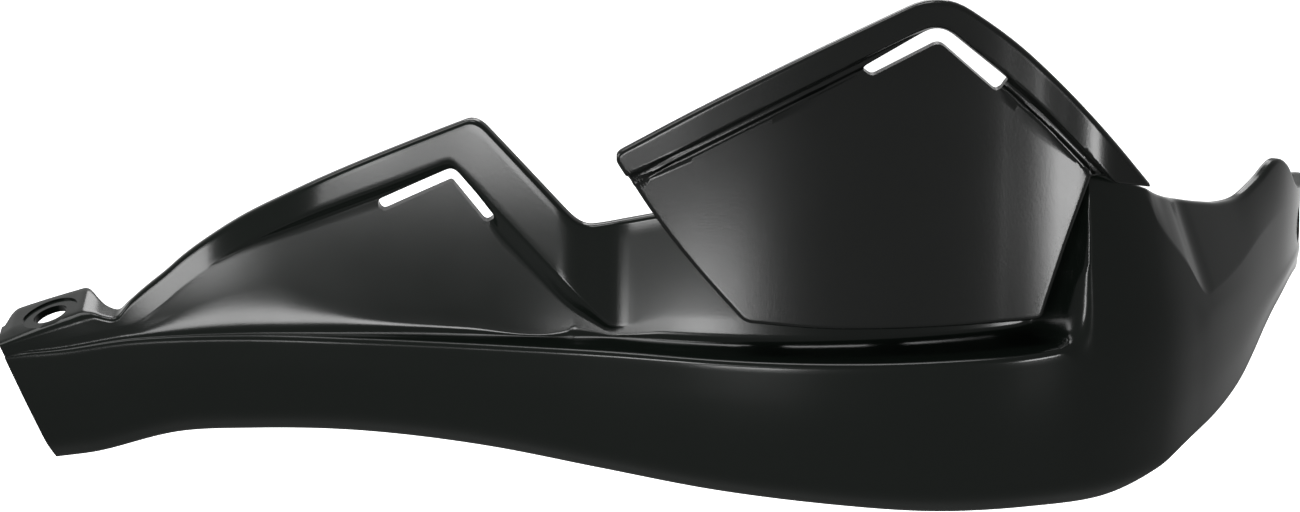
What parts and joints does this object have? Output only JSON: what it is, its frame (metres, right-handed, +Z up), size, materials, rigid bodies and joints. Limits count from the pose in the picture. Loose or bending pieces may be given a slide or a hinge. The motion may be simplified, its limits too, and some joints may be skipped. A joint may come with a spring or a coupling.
{
  "type": "motorcycle hand guard",
  "caption": "Wrap-around plastic hand guard with a raised, slotted inner peak, a separate slotted wind deflector, an inner bolt flange and a bar-end bolt pad.",
  "frame": {"origin": "middle of the inner bolt hole, on the seat of its bolt", "axes": "+X along the handlebar towards the bar end, +Y back towards the rider, +Z up"},
  "size_m": [0.3456, 0.1241, 0.1322],
  "materials": {
    "gloss_plastic": "moulded gloss black plastic",
    "satin_plastic": "fine-textured satin black plastic",
    "screw_steel": "zinc-plated steel"
  },
  "bodies": {
    "root": {"guard_body": "gloss_plastic", "deflector": "satin_plastic", "left_screw": "screw_steel", "right_screw": "screw_steel", "top_screw": "screw_steel", "left_washer": "screw_steel", "right_washer": "screw_steel", "top_washer": "screw_steel"}
  },
  "joints": []
}
